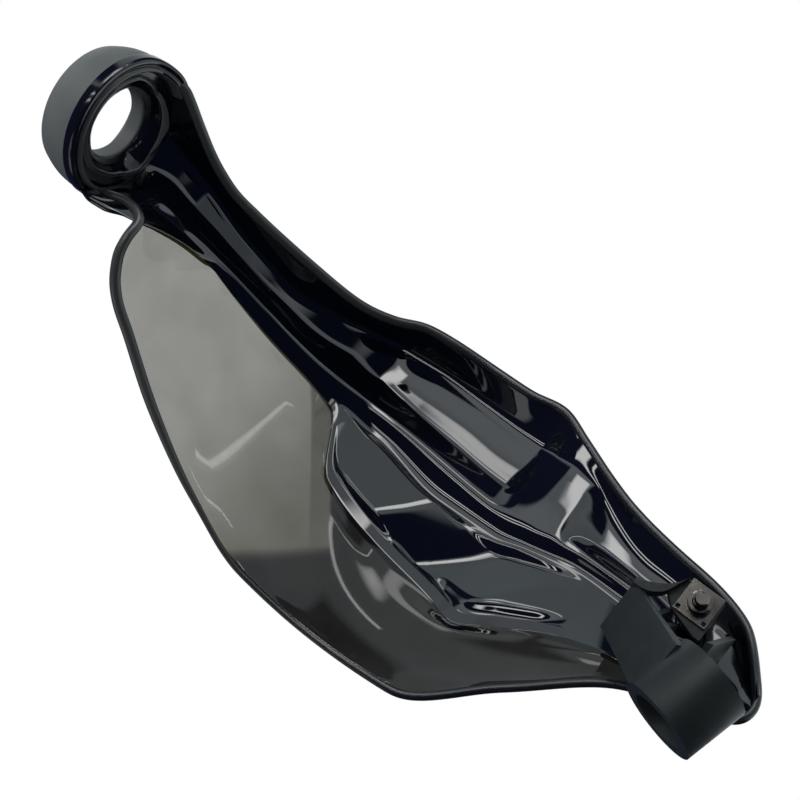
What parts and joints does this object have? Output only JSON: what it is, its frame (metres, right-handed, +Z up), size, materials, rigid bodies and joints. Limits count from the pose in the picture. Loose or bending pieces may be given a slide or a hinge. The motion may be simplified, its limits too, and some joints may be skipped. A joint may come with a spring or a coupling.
{
  "type": "motorcycle hand guard",
  "caption": "Right-hand motorcycle hand guard: gloss black channelled frame with a smoke wind shield, a sleeve for the bar end and a ribbed bracket for the lever pivot.",
  "frame": {"origin": "middle of the bore in the bar-end sleeve", "axes": "+X outboard along the handlebar and the bore, +Y forward, +Z up as fitted to the motorcycle"},
  "size_m": [0.281, 0.1402, 0.1279],
  "materials": {
    "sleeve_plastic": "matt, fine grain",
    "frame_plastic": "gloss",
    "smoke_plastic": "translucent, gloss",
    "bracket_plastic": "satin",
    "clip_steel": "zinc plated",
    "screw_steel": "zinc plated"
  },
  "bodies": {
    "root": {"bar_end_sleeve": "sleeve_plastic", "guard_frame": "frame_plastic", "smoke_shield": "smoke_plastic", "lever_bracket": "bracket_plastic", "clip_nut": "clip_steel", "mounting_screw": "screw_steel"}
  },
  "joints": []
}
